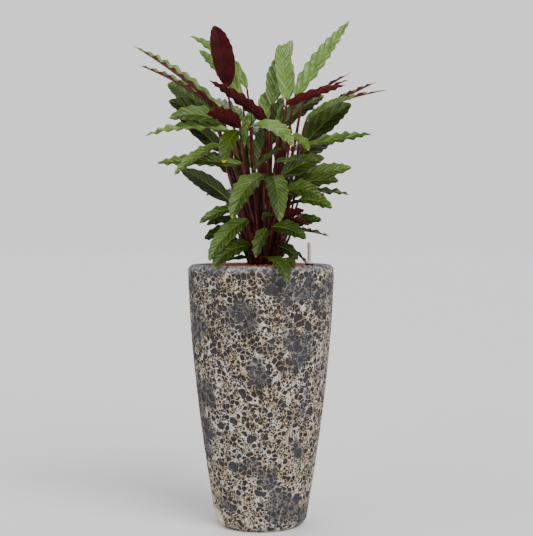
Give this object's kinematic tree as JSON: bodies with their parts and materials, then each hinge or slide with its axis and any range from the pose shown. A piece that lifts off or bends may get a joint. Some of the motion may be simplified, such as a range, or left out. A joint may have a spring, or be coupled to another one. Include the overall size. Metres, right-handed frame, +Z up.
{
  "type": "potted calathea plant",
  "caption": "Tall tapered glazed planter holding a leafy prayer plant with long waved green leaves, maroon underneath, in clay granules with a water gauge.",
  "frame": {"origin": "centre of the pot's flat foot, on the surface that it stands on", "axes": "+Z up through the pot's axis, -Y towards the front as pictured, +X to the right"},
  "size_m": [0.6553, 0.4839, 1.341],
  "materials": {
    "glaze": "satin crater glaze, dark pits with pale lace-like rims",
    "black_plastic": "matte moulded plastic",
    "clay_granules": "matte fired clay",
    "clear_plastic": "clear, slightly milky plastic",
    "orange_plastic": "gloss plastic",
    "leaf": "waxy green top with a paler midrib, maroon underside and stalks"
  },
  "bodies": {
    "root": {"pot": "glaze", "insert": "black_plastic", "culture_pot": "black_plastic", "root_ball": "clay_granules", "granules": "clay_granules", "gauge_shaft": "black_plastic", "gauge_base": "black_plastic", "gauge_glass": "clear_plastic", "gauge_float": "orange_plastic", "shoot_01": "leaf", "shoot_02": "leaf", "shoot_03": "leaf", "shoot_04": "leaf", "shoot_05": "leaf", "shoot_06": "leaf", "shoot_07": "leaf", "shoot_08": "leaf", "shoot_09": "leaf", "shoot_10": "leaf", "shoot_11": "leaf", "shoot_12": "leaf", "shoot_13": "leaf", "shoot_14": "leaf", "shoot_15": "leaf", "shoot_16": "leaf", "shoot_17": "leaf", "shoot_18": "leaf", "shoot_19": "leaf", "shoot_20": "leaf", "shoot_21": "leaf", "shoot_22": "leaf", "shoot_23": "leaf", "shoot_24": "leaf", "shoot_25": "leaf", "shoot_26": "leaf", "shoot_27": "leaf", "shoot_28": "leaf", "shoot_29": "leaf", "shoot_30": "leaf", "shoot_31": "leaf", "shoot_32": "leaf"}
  },
  "joints": []
}
